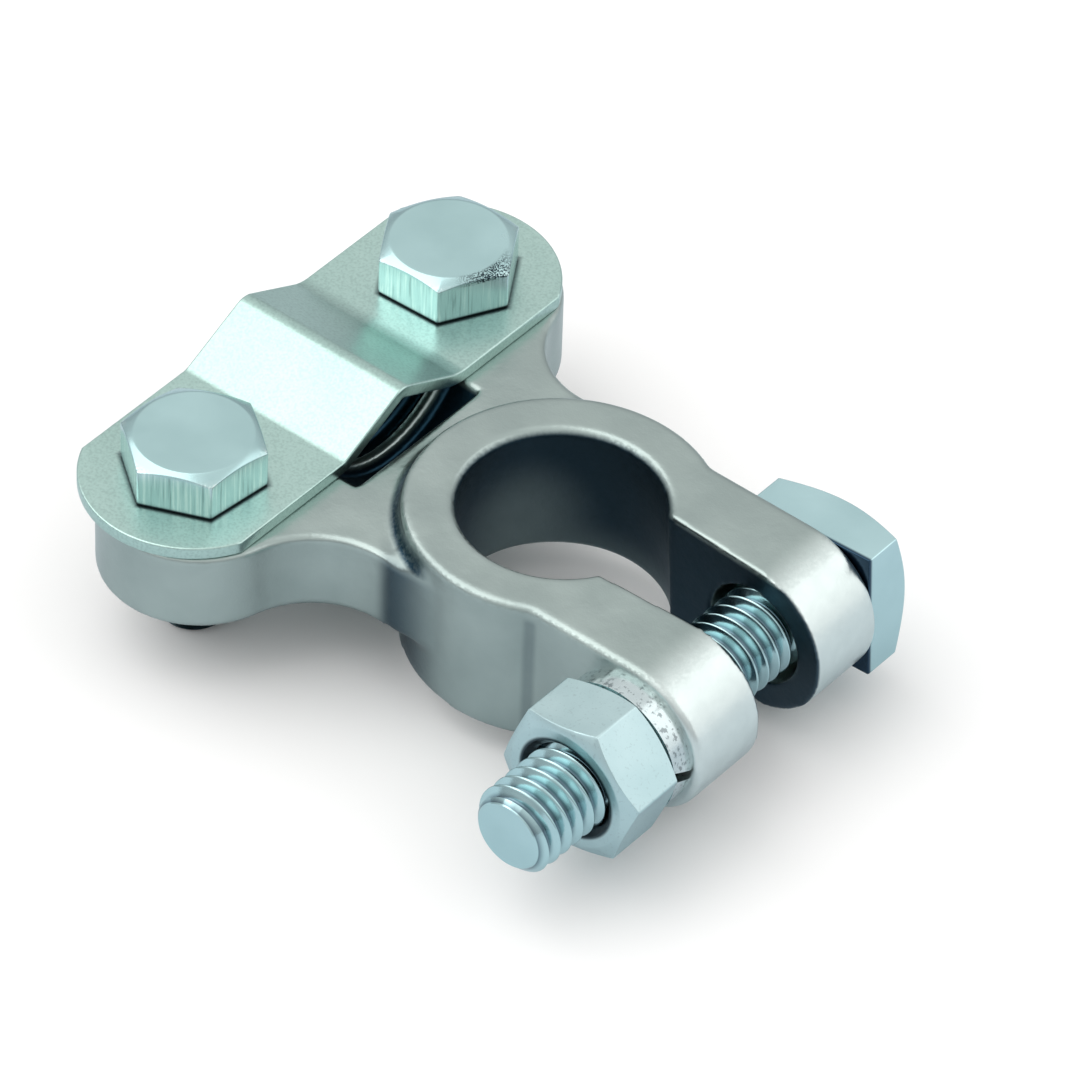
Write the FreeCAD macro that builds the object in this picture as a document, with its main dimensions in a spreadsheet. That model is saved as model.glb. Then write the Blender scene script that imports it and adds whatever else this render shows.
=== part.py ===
import FreeCAD, Part
import Sketcher
import math
import os

# Battery terminal clamp, millimetres. The origin is on the axis of the battery post, at the
# underside of the split ring. +Z runs up the post, +X towards the two ears and their clamp
# bolt, and the cable saddle lies behind the ring at -X. The bolt's head is at +Y.

# The ring that grips the post. The post tapers 1 in 9 on its diameter, thin end up.
ring_radius = 13.3
ring_height = 14.4
post_bore_top = 17.6
post_taper = 9
bore_top_bevel = 0.5
bore_foot_bevel = 1.2
casting_bevel = 0.8

# The two ears, drawn together by the clamp bolt, lean towards each other.
ear_span = 23.4
ear_root_round = 2.5
slot_at_post = 10.2
slot_at_tip = 7.7
clamp_bolt_reach = 17.2
ear_hole = 9.4

# The arm behind the ring, with a round lobe under each saddle bolt.
saddle_bolt_reach = 26.0
saddle_bolt_spacing = 32.6
lobe_radius = 8.7
lobe_lead = 1.1
lobe_outset = 0.5
neck_round = 8.2
neck_inset = 0.2
arm_thickness = 7.6
arm_below_ring_top = 2.1
arm_edge_bevel = 0.4

# The half-round trough that the cable lies in, with grip ribs across it.
trough_front = 15.4
trough_radius = 10.0
trough_depth = 4.1
rib_height = 0.9
rib_crest = 0.8
rib_spacing = 2.8
first_rib = 19.2

# The pressed steel saddle that clamps the cable down.
saddle_thickness = 1.2
saddle_width = 17.6
saddle_shoulder = 4.1
fold_spread = 14.7
fold_rise = 3.5
fold_outer_round = 1.4
fold_inner_round = 0.4
saddle_hole = 7.1

# Fasteners: 1/4 inch saddle bolts, 5/16 inch clamp bolt, its lock washer and nut.
saddle_thread = 6.35
saddle_bolt_flats = 11.1
saddle_head_height = 4.15
saddle_bolt_length = 15.9
saddle_tip_bevel = 0.7
clamp_thread = 7.94
clamp_head_flats = 12.5
clamp_head_height = 5.1
clamp_bolt_length = 39.0
clamp_tip_bevel = 0.9
nut_flats = 12.5
nut_thickness = 6.3
nut_mouth_bevel = 0.6
washer_radius = 6.25
washer_thickness = 2.0
washer_clearance = 0.15
washer_split = 1.0
thread_fit = 0.05
flat_share = 0.91
head_bevel_degrees = 25

# How far each head and the nut is turned about its own axis.
front_bolt_turn = 24
rear_bolt_turn = 2
clamp_bolt_turn = -48
nut_turn = 10

os.makedirs("parts", exist_ok=True)
doc = FreeCAD.newDocument("battery_terminal_clamp")
sheet = doc.addObject("Spreadsheet::Sheet", "sizes")
places = doc.addObject("App::VarSet", "places")
Vector = FreeCAD.Vector
Rotation = FreeCAD.Rotation


class Size:
    """A length in the sheet, or a sum made of such lengths, as a value and as its formula."""

    def __init__(self, value, formula):
        self.value = value
        self.formula = formula

    def __add__(self, other):
        other = as_size(other)
        return Size(self.value + other.value, f"({self.formula} + {other.formula})")

    def __sub__(self, other):
        other = as_size(other)
        return Size(self.value - other.value, f"({self.formula} - {other.formula})")

    def __mul__(self, other):
        other = as_size(other)
        return Size(self.value * other.value, f"({self.formula} * {other.formula})")

    def __truediv__(self, other):
        other = as_size(other)
        return Size(self.value / other.value, f"({self.formula} / {other.formula})")

    def __neg__(self):
        return Size(-self.value, f"(0 - {self.formula})")


def as_size(number):
    return number if isinstance(number, Size) else Size(number, str(number))


def root(size):
    return Size(math.sqrt(size.value), f"sqrt({size.formula})")


def tangent(degrees):
    return Size(math.tan(math.radians(degrees.value)), f"tan({degrees.formula} * 1 deg)")


def place(name, size):
    """A length worked out from the driving ones, kept under a name of its own."""
    places.addProperty("App::PropertyFloat", name, "worked out")
    setattr(places, name, size.value)
    places.setExpression(name, size.formula)
    return Size(size.value, f"places.{name}")


# Every number named above gets a cell of the sheet, and from here its name stands for the cell.
numbers = [item for item in vars().items() if isinstance(item[1], (int, float))]
for row, (name, value) in enumerate(numbers, 1):
    sheet.set(f"A{row}", name)
    sheet.set(f"B{row}", str(value))
    sheet.setAlias(f"B{row}", name)
    vars()[name] = Size(value, f"sizes.{name}")

ear_half = place("ear_half", ear_span / 2)
ear_round = place("ear_round", ring_height / 2)
ear_tip = place("ear_tip", clamp_bolt_reach + ear_round)
arm_top = place("arm_top", ring_height - arm_below_ring_top)
arm_foot = place("arm_foot", arm_top - arm_thickness)
bolt_side = place("bolt_side", saddle_bolt_spacing / 2)
lobe_reach = place("lobe_reach", saddle_bolt_reach - lobe_lead)
lobe_side = place("lobe_side", bolt_side + lobe_outset)
arm_back = place("arm_back", lobe_reach + lobe_radius)
saddle_top = place("saddle_top", arm_top + saddle_thickness)
saddle_root = place("saddle_root", saddle_thread / 2)
clamp_root = place("clamp_root", clamp_thread / 2)
spare = 1.0


def new_body(name):
    body = doc.addObject("PartDesign::Body", name)
    body.Label = name
    return body


def bind(item, prop, size):
    item.setExpression(prop, size.formula)


def origin_item(body, role):
    return next(item for item in body.Origin.OriginFeatures if item.Role == role)


def new_sketch(body, name, plane, shift=None, along="z"):
    """A sketch on one of the body's own planes, shifted along one of the sketch's axes."""
    sketch = body.newObject("Sketcher::SketchObject", name)
    sketch.AttachmentSupport = (origin_item(body, plane), [""])
    sketch.MapMode = "FlatFace"
    if shift is not None:
        bind(sketch, f"AttachmentOffset.Base.{along}", shift)
    return sketch


def hold(sketch, kind, geometry, point, size):
    """Dimension one point from the sketch's origin."""
    size = as_size(size)
    index = sketch.addConstraint(Sketcher.Constraint(kind, -1, 1, geometry, point, size.value))
    sketch.setExpression(f"Constraints[{index}]", size.formula)


def hold_radius(sketch, geometry, size):
    index = sketch.addConstraint(Sketcher.Constraint("Radius", geometry, size.value))
    sketch.setExpression(f"Constraints[{index}]", size.formula)


def draw_circle(sketch, across, up, radius):
    across = as_size(across)
    up = as_size(up)
    centre = Vector(across.value, up.value, 0)
    index = sketch.addGeometry(Part.Circle(centre, Vector(0, 0, 1), radius.value))
    hold(sketch, "DistanceX", index, 3, across)
    hold(sketch, "DistanceY", index, 3, up)
    hold_radius(sketch, index, radius)


def draw_outline(sketch, corners):
    """A closed outline. Each corner is (across, up), and the edge that leaves it is straight,
    or an arc where the corner also has (centre, radius, "left" or "right")."""
    points = [(as_size(corner[0]), as_size(corner[1])) for corner in corners]
    ends = []
    for number, corner in enumerate(corners):
        start = points[number]
        stop = points[(number + 1) % len(points)]
        start_at = Vector(start[0].value, start[1].value, 0)
        stop_at = Vector(stop[0].value, stop[1].value, 0)
        if len(corner) == 2:
            index = sketch.addGeometry(Part.LineSegment(start_at, stop_at))
            ends.append((index, 1, 2))
        else:
            centre, radius, turn = corner[2]
            middle = Vector(as_size(centre[0]).value, as_size(centre[1]).value, 0)
            circle = Part.Circle(middle, Vector(0, 0, 1), as_size(radius).value)
            first, last = (start_at, stop_at) if turn == "left" else (stop_at, start_at)
            angles = [math.atan2(p.y - middle.y, p.x - middle.x) for p in (first, last)]
            if angles[1] <= angles[0]:
                angles[1] += 2 * math.pi
            index = sketch.addGeometry(Part.ArcOfCircle(circle, angles[0], angles[1]))
            hold_radius(sketch, index, as_size(radius))
            ends.append((index, 1, 2) if turn == "left" else (index, 2, 1))
    for number, (index, first, last) in enumerate(ends):
        previous = ends[number - 1]
        sketch.addConstraint(Sketcher.Constraint("Coincident", previous[0], previous[2], index, first))
        hold(sketch, "DistanceX", index, first, points[number][0])
        hold(sketch, "DistanceY", index, first, points[number][1])


def draw_polygon(sketch, sides, flats, turn):
    """A regular polygon about the origin, from its width across flats."""
    corner = flats.value / 2 / math.cos(math.pi / sides)
    corners = []
    for number in range(sides):
        angle = Size(turn.value + 360 / sides * number, f"({turn.formula} + {360 / sides * number})")
        slant = math.radians(angle.value)
        reach = f"({flats.formula} / 2 / cos({180 / sides} deg))"
        across = Size(corner * math.cos(slant), f"({reach} * cos({angle.formula} * 1 deg))")
        up = Size(corner * math.sin(slant), f"({reach} * sin({angle.formula} * 1 deg))")
        corners.append((across, up))
    draw_outline(sketch, corners)


def feature(body, kind, name, sketch, length=None, axis=None, **settings):
    """Pad, pocket, revolution or groove of a sketch."""
    item = body.newObject(f"PartDesign::{kind}", name)
    item.Profile = sketch
    if axis is not None:
        item.ReferenceAxis = axis
    for key, value in settings.items():
        setattr(item, key, value)
    if length is not None:
        bind(item, "Length", as_size(length))
    doc.recompute()
    return item


def edge_names(shape, wanted):
    """Names of the edges whose start, middle and end all pass the test."""
    names = []
    for number, edge in enumerate(shape.Edges, 1):
        first, last = edge.ParameterRange
        spots = [edge.valueAt(first + (last - first) * share) for share in (0, 0.25, 0.5, 0.75, 1)]
        if all(wanted(spot) for spot in spots):
            names.append(f"Edge{number}")
    return names


def round_edges(body, name, base, radius, wanted):
    item = body.newObject("PartDesign::Fillet", name)
    item.Base = (base, edge_names(base.Shape, wanted))
    bind(item, "Radius", radius)
    doc.recompute()
    return item


def bevel_edges(body, name, base, size, wanted):
    item = body.newObject("PartDesign::Chamfer", name)
    item.Base = (base, edge_names(base.Shape, wanted))
    bind(item, "Size", size)
    doc.recompute()
    return item


def near(value, target):
    return abs(value - target) < 0.01


# The casting: split ring, ears, arm with two lobes and the ribbed trough, all one piece.
casting = new_body("clamp_body")

# Each neck arc touches a lobe from outside and comes in to the neck's half width. It ends beside
# the ring, and from there the outline turns into the ring's wall.
neck_half = place("neck_half", ring_radius - neck_inset)
neck_side = place("neck_side", neck_half + neck_round)
neck_to_lobe = place("neck_to_lobe", neck_round + lobe_radius)
neck_gap = neck_side - lobe_side
neck_back = place("neck_back", lobe_reach - root(neck_to_lobe * neck_to_lobe - neck_gap * neck_gap))
lobe_share = lobe_radius / neck_to_lobe
lobe_touch = ((lobe_reach - neck_back) * lobe_share - lobe_reach, neck_gap * lobe_share + lobe_side)
neck_end_reach = place("neck_end_reach", ring_radius * 0.53)
neck_end_along = neck_back - neck_end_reach
neck_end_side = place("neck_end_side", neck_side - root(neck_round * neck_round - neck_end_along * neck_end_along))
neck_end = (-neck_end_reach, neck_end_side)
arm_root = (-(ring_radius * 0.34), ring_radius * 0.89)


def beside(point):
    """The same point on the other side of the clamp's plane of symmetry."""
    return (point[0], -as_size(point[1]))


neck_centre = (-neck_back, neck_side)
lobe_centre = (-lobe_reach, lobe_side)
back_corner = (-arm_back, lobe_side)
arm_plan = new_sketch(casting, "arm_plan", "XY_Plane", arm_foot)
draw_outline(arm_plan, [
    arm_root,
    neck_end + ((neck_centre, neck_round, "right"),),
    lobe_touch + ((lobe_centre, lobe_radius, "left"),),
    back_corner,
    beside(back_corner) + ((beside(lobe_centre), lobe_radius, "left"),),
    beside(lobe_touch) + ((beside(neck_centre), neck_round, "right"),),
    beside(neck_end),
    beside(arm_root),
])
arm = feature(casting, "Pad", "arm", arm_plan, arm_thickness)
arm_bevels = bevel_edges(casting, "arm_bevels", arm, arm_edge_bevel, lambda p: (
    (near(p.z, arm_top.value) or near(p.z, arm_foot.value)) and not near(p.x, arm_root[0].value)))

# Ring and ears share one plan outline. A concave arc leads the ring into each ear.
root_reach = ring_radius + ear_root_round
root_side = ear_half + ear_root_round
root_along = place("root_along", root(root_reach * root_reach - root_side * root_side))
root_share = ring_radius / root_reach
ring_plan = new_sketch(casting, "ring_plan", "XY_Plane")
root_touch = (root_along * root_share, root_side * root_share)
root_centre = (root_along, root_side)
draw_outline(ring_plan, [
    (ear_tip, -ear_half),
    (ear_tip, ear_half),
    (root_along, ear_half, (root_centre, ear_root_round, "right")),
    root_touch + (((0, 0), ring_radius, "left"),),
    beside(root_touch) + ((beside(root_centre), ear_root_round, "right"),),
    (root_along, -ear_half),
])
ring = feature(casting, "Pad", "ring_and_ears", ring_plan, ring_height)

# Seen from the side the ears end in a half round about the clamp bolt.
ear_side = new_sketch(casting, "ear_side", "XZ_Plane")
draw_outline(ear_side, [
    (clamp_bolt_reach, ring_height, ((clamp_bolt_reach, ear_round), ear_round, "right")),
    (ear_tip, ear_round, ((clamp_bolt_reach, ear_round), ear_round, "right")),
    (clamp_bolt_reach, 0),
    (clamp_bolt_reach, -spare),
    (ear_tip + spare, -spare),
    (ear_tip + spare, ring_height + spare),
    (clamp_bolt_reach, ring_height + spare),
])
ear_ends = feature(casting, "Pocket", "ear_ends", ear_side, SideType="Symmetric", Type="ThroughAll")


def on_outer_edge(p):
    """True on the edges between the ring's or an ear's outer wall and its top, foot or end."""
    side = abs(p.y)
    if p.x <= root_touch[0].value + 0.01:
        wall = near(math.hypot(p.x, p.y), ring_radius.value)
    elif p.x <= root_along.value:
        off_root = math.hypot(p.x - root_along.value, side - root_side.value)
        wall = near(off_root, ear_root_round.value)
    else:
        wall = near(side, ear_half.value)
    cap = near(p.z, 0) or near(p.z, ring_height.value)
    off_bolt = math.hypot(p.x - clamp_bolt_reach.value, p.z - ear_round.value)
    end = p.x >= clamp_bolt_reach.value - 0.01 and near(off_bolt, ear_round.value)
    return wall and (cap or end)


ring_bevels = bevel_edges(casting, "ring_bevels", ear_ends, casting_bevel, on_outer_edge)

# The tapered bore, bevelled at its mouth and foot.
bore_top = post_bore_top / 2
bore_foot = place("bore_foot", bore_top + (ring_height - bore_foot_bevel) / (post_taper * 2))
bore_mouth = place("bore_mouth", bore_top + bore_top_bevel / (post_taper * 2))
bore_section = new_sketch(casting, "bore_section", "XZ_Plane")
draw_outline(bore_section, [
    (0, 0),
    (bore_foot + bore_foot_bevel, 0),
    (bore_foot, bore_foot_bevel),
    (bore_mouth, ring_height - bore_top_bevel),
    (bore_mouth + bore_top_bevel, ring_height),
    (0, ring_height),
])
post_bore = feature(casting, "Groove", "post_bore", bore_section, axis=(bore_section, ["V_Axis"]))

slot_plan = new_sketch(casting, "slot_plan", "XY_Plane")
slot_lean = (slot_at_post - slot_at_tip) / 2 / ear_tip
slot_end = place("slot_end", slot_at_tip / 2 - slot_lean * spare)
draw_outline(slot_plan, [
    (0, -(slot_at_post / 2)),
    (ear_tip + spare, -slot_end),
    (ear_tip + spare, slot_end),
    (0, slot_at_post / 2),
])
slot = feature(casting, "Pocket", "slot", slot_plan, SideType="Symmetric", Type="ThroughAll")

ear_hole_sketch = new_sketch(casting, "ear_hole_sketch", "XZ_Plane")
draw_circle(ear_hole_sketch, clamp_bolt_reach, ear_round, ear_hole / 2)
ear_holes = feature(casting, "Pocket", "ear_holes", ear_hole_sketch, SideType="Symmetric", Type="ThroughAll")

# The trough is turned about a line above the arm: first down to the rib crests, then the
# channel in front of the first rib, then the valleys between ribs.
trough_axis_height = place("trough_axis_height", arm_top - trough_depth + trough_radius)
crest_radius = place("crest_radius", trough_radius - rib_height)
trough_rear = arm_back + spare
crest_section = new_sketch(casting, "crest_section", "XZ_Plane", trough_axis_height, "y")
draw_outline(crest_section, [
    (-trough_rear, 0),
    (-trough_rear, -crest_radius),
    (-trough_front, -crest_radius),
    (-trough_front, 0),
])
crests = feature(casting, "Groove", "trough_to_crests", crest_section, axis=(crest_section, ["H_Axis"]))

rib_flank = rib_height / 2
channel_section = new_sketch(casting, "channel_section", "XZ_Plane", trough_axis_height, "y")
draw_outline(channel_section, [
    (-(first_rib - rib_crest / 2), 0),
    (-(first_rib - rib_crest / 2), -crest_radius),
    (-(first_rib - rib_crest / 2 - rib_flank), -trough_radius),
    (-trough_front, -trough_radius),
    (-trough_front, 0),
])
channel = feature(casting, "Groove", "trough_channel", channel_section, axis=(channel_section, ["H_Axis"]))

valley_rear = first_rib + rib_spacing - rib_crest / 2
valley_front = first_rib + rib_crest / 2
valley_section = new_sketch(casting, "valley_section", "XZ_Plane", trough_axis_height, "y")
draw_outline(valley_section, [
    (-valley_rear, 0),
    (-valley_rear, -crest_radius),
    (-(valley_rear - rib_flank), -trough_radius),
    (-(valley_front + rib_flank), -trough_radius),
    (-valley_front, -crest_radius),
    (-valley_front, 0),
])
valley = feature(casting, "Groove", "first_valley", valley_section, axis=(valley_section, ["H_Axis"]))
valley_count = int((arm_back.value - first_rib.value) / rib_spacing.value)
valleys = casting.newObject("PartDesign::LinearPattern", "valleys")
valleys.Originals = [valley]
valleys.Direction = (valley_section, ["H_Axis"])
valleys.Reversed = True
valleys.Mode = "Spacing"
bind(valleys, "Offset", rib_spacing)
valleys.Occurrences = valley_count
casting.Tip = valleys
doc.recompute()

tapped_holes_sketch = new_sketch(casting, "tapped_holes_sketch", "XY_Plane")
draw_circle(tapped_holes_sketch, -saddle_bolt_reach, bolt_side, saddle_root + thread_fit)
draw_circle(tapped_holes_sketch, -saddle_bolt_reach, -bolt_side, saddle_root + thread_fit)
tapped_holes = feature(casting, "Pocket", "tapped_holes", tapped_holes_sketch,
                       SideType="Symmetric", Type="ThroughAll")

# The saddle: a steel strip folded into an inverted V, its ends cut round about the bolts.
saddle = new_body("cable_saddle")
fold_half = place("fold_half", fold_spread / 2)
fold_slope = place("fold_slope", root(fold_half * fold_half + fold_rise * fold_rise))
fold_shift = place("fold_shift", saddle_thickness * (fold_slope - fold_half) / fold_rise)
ridge_foot = place("ridge_foot", saddle_top + fold_rise - saddle_thickness * fold_slope / fold_half)
ridge_top = place("ridge_top", saddle_top + fold_rise)
half_width = place("half_width", saddle_width / 2)
end_radius = place("end_radius", root(half_width * half_width + saddle_shoulder * saddle_shoulder))
strip_half = place("strip_half", bolt_side + end_radius)
strip_section = new_sketch(saddle, "strip_section", "YZ_Plane", -saddle_bolt_reach)
draw_outline(strip_section, [
    (-strip_half, arm_top),
    (-(fold_half - fold_shift), arm_top),
    (0, ridge_foot),
    (fold_half - fold_shift, arm_top),
    (strip_half, arm_top),
    (strip_half, saddle_top),
    (fold_half, saddle_top),
    (0, ridge_top),
    (-fold_half, saddle_top),
    (-strip_half, saddle_top),
])
strip = feature(saddle, "Pad", "strip", strip_section, saddle_width, SideType="Symmetric")
outer_folds = round_edges(saddle, "outer_folds", strip, fold_outer_round, lambda p: (
    near(p.y, 0) and near(p.z, ridge_top.value)
    or near(abs(p.y), fold_half.value - fold_shift.value) and near(p.z, arm_top.value)))
inner_folds = round_edges(saddle, "inner_folds", outer_folds, fold_inner_round, lambda p: (
    near(p.y, 0) and near(p.z, ridge_foot.value)
    or near(abs(p.y), fold_half.value) and near(p.z, saddle_top.value)))

ends_plan = new_sketch(saddle, "ends_plan", "XY_Plane")
for side in (1, -1):
    turn = "right" if side == 1 else "left"
    left = -(saddle_bolt_reach + half_width)
    right = half_width - saddle_bolt_reach
    shoulder = (bolt_side + saddle_shoulder) * side
    outside = (strip_half + spare) * side
    end_centre = (-saddle_bolt_reach, bolt_side * side)
    draw_outline(ends_plan, [
        (left, shoulder, (end_centre, end_radius, turn)),
        (right, shoulder),
        (right + spare, shoulder),
        (right + spare, outside),
        (left - spare, outside),
        (left - spare, shoulder),
    ])
ends = feature(saddle, "Pocket", "rounded_ends", ends_plan, SideType="Symmetric", Type="ThroughAll")
saddle_holes = new_sketch(saddle, "saddle_holes", "XY_Plane")
draw_circle(saddle_holes, -saddle_bolt_reach, bolt_side, saddle_hole / 2)
draw_circle(saddle_holes, -saddle_bolt_reach, -bolt_side, saddle_hole / 2)
feature(saddle, "Pocket", "bolt_holes", saddle_holes, SideType="Symmetric", Type="ThroughAll")


def bevel_section(sides, flats, face):
    """Section that a bevelling cut sweeps off the corners at one face of a head or nut."""
    disc = flats * flat_share / 2
    outside = flats / (2 * math.cos(math.pi / sides)) + spare
    drop = (outside - disc) * tangent(head_bevel_degrees)
    return [(disc, face), (outside, face), (outside, face - drop)]


def set_down(body, axis, turn, across, side, up):
    """Put a body in its place, its own Z axis turned about the clamp's X axis."""
    body.Placement = FreeCAD.Placement(Vector(0, 0, 0), Rotation(Vector(1, 0, 0), turn))
    bind(body, "Placement.Base.x", across)
    bind(body, "Placement.Base.y", as_size(side))
    bind(body, "Placement.Base.z", up)


def headed_bolt(name, sides, flats, head_height, radius, length, tip_bevel, head_turn):
    """A bolt whose head stands on its own XY plane, with the shank below it."""
    bolt = new_body(name)
    head_plan = new_sketch(bolt, f"{name}_head_plan", "XY_Plane")
    draw_polygon(head_plan, sides, flats, head_turn)
    feature(bolt, "Pad", f"{name}_head", head_plan, head_height)
    bevel = new_sketch(bolt, f"{name}_bevel_section", "XZ_Plane")
    draw_outline(bevel, bevel_section(sides, flats, head_height))
    feature(bolt, "Groove", f"{name}_bevel", bevel, axis=(bevel, ["V_Axis"]))
    shank = new_sketch(bolt, f"{name}_shank_section", "XZ_Plane")
    draw_outline(shank, [
        (0, 0),
        (0, -length),
        (radius - tip_bevel, -length),
        (radius, tip_bevel - length),
        (radius, 0),
    ])
    feature(bolt, "Revolution", f"{name}_shank", shank, axis=(shank, ["V_Axis"]))
    return bolt


for name, side, turn in (("saddle_bolt_front", -1, front_bolt_turn), ("saddle_bolt_rear", 1, rear_bolt_turn)):
    bolt = headed_bolt(name, 6, saddle_bolt_flats, saddle_head_height, saddle_root,
                       saddle_bolt_length, saddle_tip_bevel, turn)
    set_down(bolt, "Z", 0, -saddle_bolt_reach, bolt_side * side, saddle_top)

clamp_bolt = headed_bolt("clamp_bolt", 4, clamp_head_flats, clamp_head_height, clamp_root,
                         clamp_bolt_length, clamp_tip_bevel, clamp_bolt_turn)
set_down(clamp_bolt, "Y", -90, clamp_bolt_reach, ear_half, ear_round)

# The split lock washer, squeezed flat between the ear and the nut.
washer = new_body("lock_washer")
washer_section = new_sketch(washer, "washer_section", "XZ_Plane")
draw_outline(washer_section, [
    (clamp_root + washer_clearance, 0),
    (washer_radius, 0),
    (washer_radius, washer_thickness),
    (clamp_root + washer_clearance, washer_thickness),
])
feature(washer, "Revolution", "washer_ring", washer_section, axis=(washer_section, ["V_Axis"]))
split_section = new_sketch(washer, "split_section", "YZ_Plane")
draw_outline(split_section, [
    (-washer_split, 0),
    (0, 0),
    (washer_split, washer_thickness),
    (0, washer_thickness),
])
feature(washer, "Pocket", "washer_split_cut", split_section, washer_radius + spare, Reversed=True)
set_down(washer, "Y", 90, clamp_bolt_reach, -ear_half, ear_round)

nut = new_body("clamp_nut")
nut_plan = new_sketch(nut, "nut_plan", "XY_Plane")
draw_polygon(nut_plan, 6, nut_flats, nut_turn)
feature(nut, "Pad", "nut_block", nut_plan, nut_thickness)
outer_bevel = new_sketch(nut, "outer_bevel", "XZ_Plane")
draw_outline(outer_bevel, bevel_section(6, nut_flats, nut_thickness))
feature(nut, "Groove", "outer_bevel_cut", outer_bevel, axis=(outer_bevel, ["V_Axis"]))
inner_bevel = new_sketch(nut, "inner_bevel", "XZ_Plane")
draw_outline(inner_bevel, [(across, -up) for across, up in bevel_section(6, nut_flats, as_size(0))])
feature(nut, "Groove", "inner_bevel_cut", inner_bevel, axis=(inner_bevel, ["V_Axis"]))
thread_section = new_sketch(nut, "thread_section", "XZ_Plane")
thread_hole = clamp_root + thread_fit
draw_outline(thread_section, [
    (0, 0),
    (thread_hole + nut_mouth_bevel, 0),
    (thread_hole, nut_mouth_bevel),
    (thread_hole, nut_thickness - nut_mouth_bevel),
    (thread_hole + nut_mouth_bevel, nut_thickness),
    (0, nut_thickness),
])
feature(nut, "Groove", "thread_hole", thread_section, axis=(thread_section, ["V_Axis"]))
set_down(nut, "Y", 90, clamp_bolt_reach, -(ear_half + washer_thickness), ear_round)

doc.recompute()
for item in doc.Objects:
    if "Invalid" in item.State or "Error" in item.State:
        raise RuntimeError(f"{item.Label} failed: {item.State}")
bodies = [item for item in doc.Objects if item.isDerivedFrom("PartDesign::Body")]
for body in bodies:
    shape = body.Shape
    if shape.isNull() or not shape.isValid() or len(shape.Solids) != 1:
        raise RuntimeError(f"{body.Label} is not one valid solid")
for body in bodies:
    body.Shape.exportStep(os.path.join("parts", body.Label + ".step"))
    box = body.Shape.BoundBox
    print(f"{body.Label:20s} volume {body.Shape.Volume:9.2f}  X {box.XMin:7.2f} {box.XMax:7.2f}"
          f"  Y {box.YMin:7.2f} {box.YMax:7.2f}  Z {box.ZMin:7.2f} {box.ZMax:7.2f}")
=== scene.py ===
import bmesh
import bpy
import math
from mathutils import Matrix, Vector


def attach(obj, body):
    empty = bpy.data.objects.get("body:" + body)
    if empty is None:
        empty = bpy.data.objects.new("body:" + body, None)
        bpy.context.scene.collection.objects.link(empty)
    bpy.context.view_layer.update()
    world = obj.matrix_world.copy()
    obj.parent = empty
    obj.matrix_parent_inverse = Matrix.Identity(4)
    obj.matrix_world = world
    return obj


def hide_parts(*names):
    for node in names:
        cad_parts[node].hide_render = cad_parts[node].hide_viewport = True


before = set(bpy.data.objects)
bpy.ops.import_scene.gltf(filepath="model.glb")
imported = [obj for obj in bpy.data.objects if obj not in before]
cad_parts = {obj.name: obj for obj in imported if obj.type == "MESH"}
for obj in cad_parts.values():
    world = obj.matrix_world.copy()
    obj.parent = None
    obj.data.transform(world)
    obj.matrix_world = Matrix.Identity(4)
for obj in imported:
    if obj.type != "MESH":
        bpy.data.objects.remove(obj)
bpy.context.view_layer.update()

# The studio: the camera stands where the photograph's did, high over the nut's end of the clamp
# bolt, with a long lens. Soft boxes hang overhead, behind the ears and at the left hand, and the
# pale floor and walls run out to white.
MM = 0.001
AIM = Vector((-3.48, 1.67, 6.88)) * MM
CAMERA_DISTANCE = 0.75846
CAMERA_BEARING = math.radians(-51.68)
CAMERA_HEIGHT = math.radians(42.70)
CAMERA_ROLL = math.radians(2.092)
FILM_WIDTH = 36
LENS = 303.81
CLIP_START = 0.05
CLIP_END = 20
WHITE = (1, 1, 1)
WALL_FOOT = (0.42, 0.44, 0.46, 1)
WALL_TOP = (0.95, 0.96, 0.96, 1)
WALL_TOP_HEIGHT = 0.75
FLOOR_LEVEL = -0.00245
FLOOR_WIDTH = 6
FLOOR_SEEN = (0.955, 0.94, 0.93)
FLOOR_MIRRORED = (0.64, 0.69, 0.73, 1)
towards = Vector((math.cos(CAMERA_BEARING) * math.cos(CAMERA_HEIGHT),
                  math.sin(CAMERA_BEARING) * math.cos(CAMERA_HEIGHT),
                  math.sin(CAMERA_HEIGHT)))
level_right = (-towards).cross(Vector((0, 0, 1))).normalized()
level_up = level_right.cross(-towards)
right = level_right * math.cos(CAMERA_ROLL) + level_up * math.sin(CAMERA_ROLL)
up = level_up * math.cos(CAMERA_ROLL) - level_right * math.sin(CAMERA_ROLL)
bpy.ops.object.camera_add()
camera = bpy.context.object
camera.matrix_world = Matrix.Translation(AIM + towards * CAMERA_DISTANCE) @ Matrix(
    (right, up, towards)).transposed().to_4x4()
camera.data.sensor_width = FILM_WIDTH
camera.data.lens = LENS
camera.data.clip_start = CLIP_START
camera.data.clip_end = CLIP_END
bpy.context.scene.camera = camera
bpy.context.scene.view_settings.view_transform = "Standard"


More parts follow.
